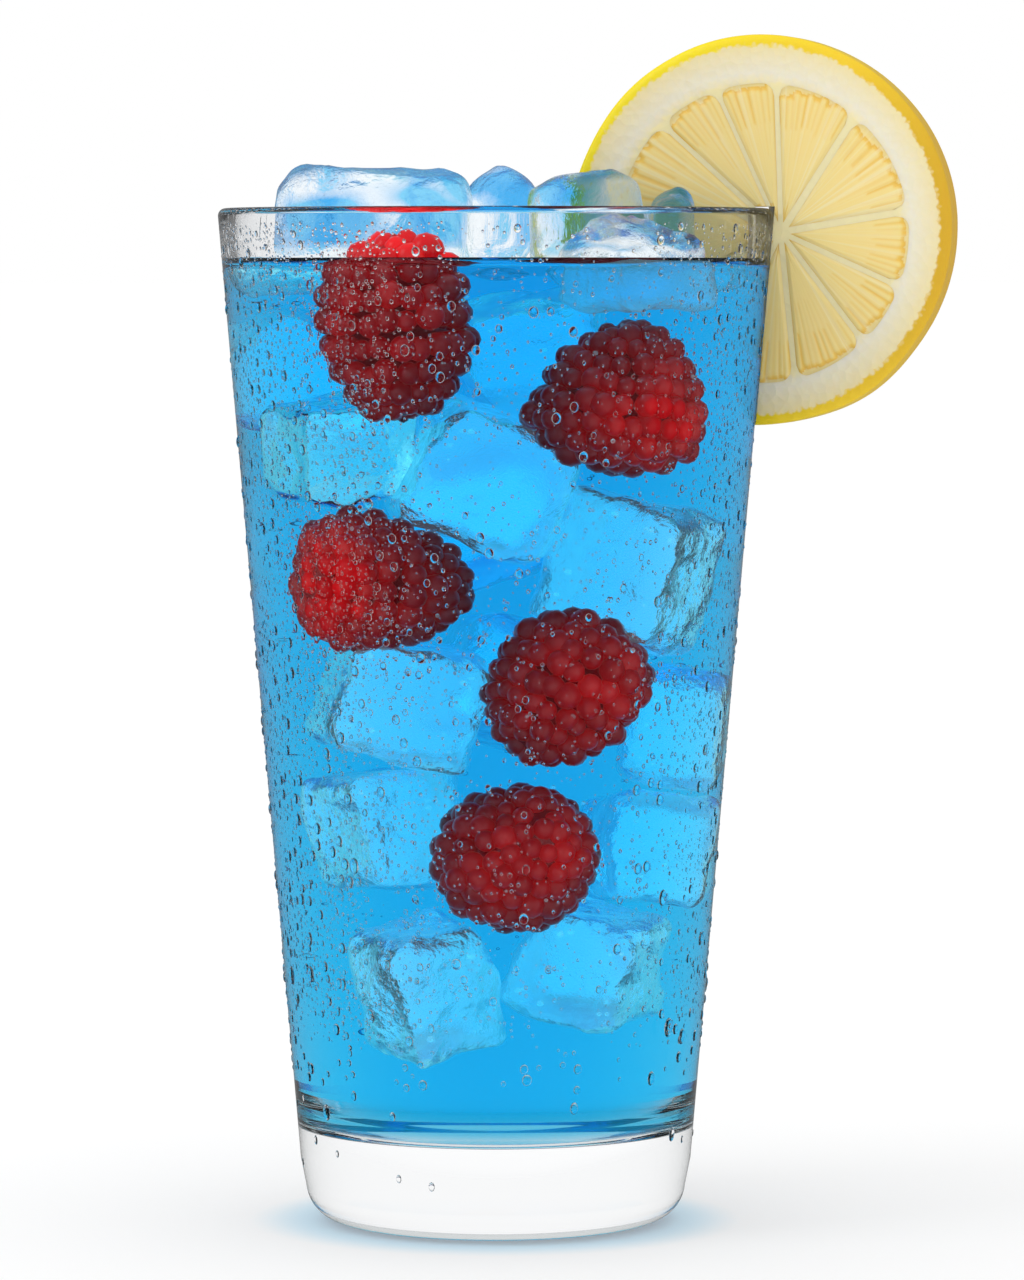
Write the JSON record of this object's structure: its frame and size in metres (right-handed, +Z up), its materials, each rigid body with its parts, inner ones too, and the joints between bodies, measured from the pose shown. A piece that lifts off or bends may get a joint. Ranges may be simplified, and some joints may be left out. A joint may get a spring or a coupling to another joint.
{
  "type": "glass of lemonade",
  "caption": "Tall tapered glass of iced blue lemonade with raspberries and a lemon wheel on the rim",
  "frame": {"origin": "middle of the glass's foot, on the surface it stands on", "axes": "+Z up along the glass's axis, +X to the drinker's right towards the lemon wheel, -Y towards the drinker"},
  "size_m": [0.1165, 0.0872, 0.1874],
  "materials": {
    "clear_glass": "smooth clear glass, beaded with condensation outside",
    "blue_lemonade": "clear bright blue liquid",
    "ice": "clear wet ice with rounded edges",
    "raspberry": "wet glossy red berry skin",
    "lemon_peel": "yellow rind outside, cream pith and membranes inside",
    "lemon_pulp": "moist pale yellow pulp"
  },
  "bodies": {
    "root": {"drink": "blue_lemonade", "glass": "clear_glass", "ice_arch": "ice", "ice_front": "ice", "ice_knob": "ice", "ice_peak": "ice", "ice_slab": "ice", "lemon_peel": "lemon_peel", "lemon_segment_01": "lemon_pulp", "lemon_segment_02": "lemon_pulp", "lemon_segment_03": "lemon_pulp", "lemon_segment_04": "lemon_pulp", "lemon_segment_05": "lemon_pulp", "lemon_segment_06": "lemon_pulp", "lemon_segment_07": "lemon_pulp", "lemon_segment_08": "lemon_pulp", "lemon_segment_09": "lemon_pulp", "lemon_segment_10": "lemon_pulp", "raspberry_afloat": "raspberry"}
  },
  "joints": []
}
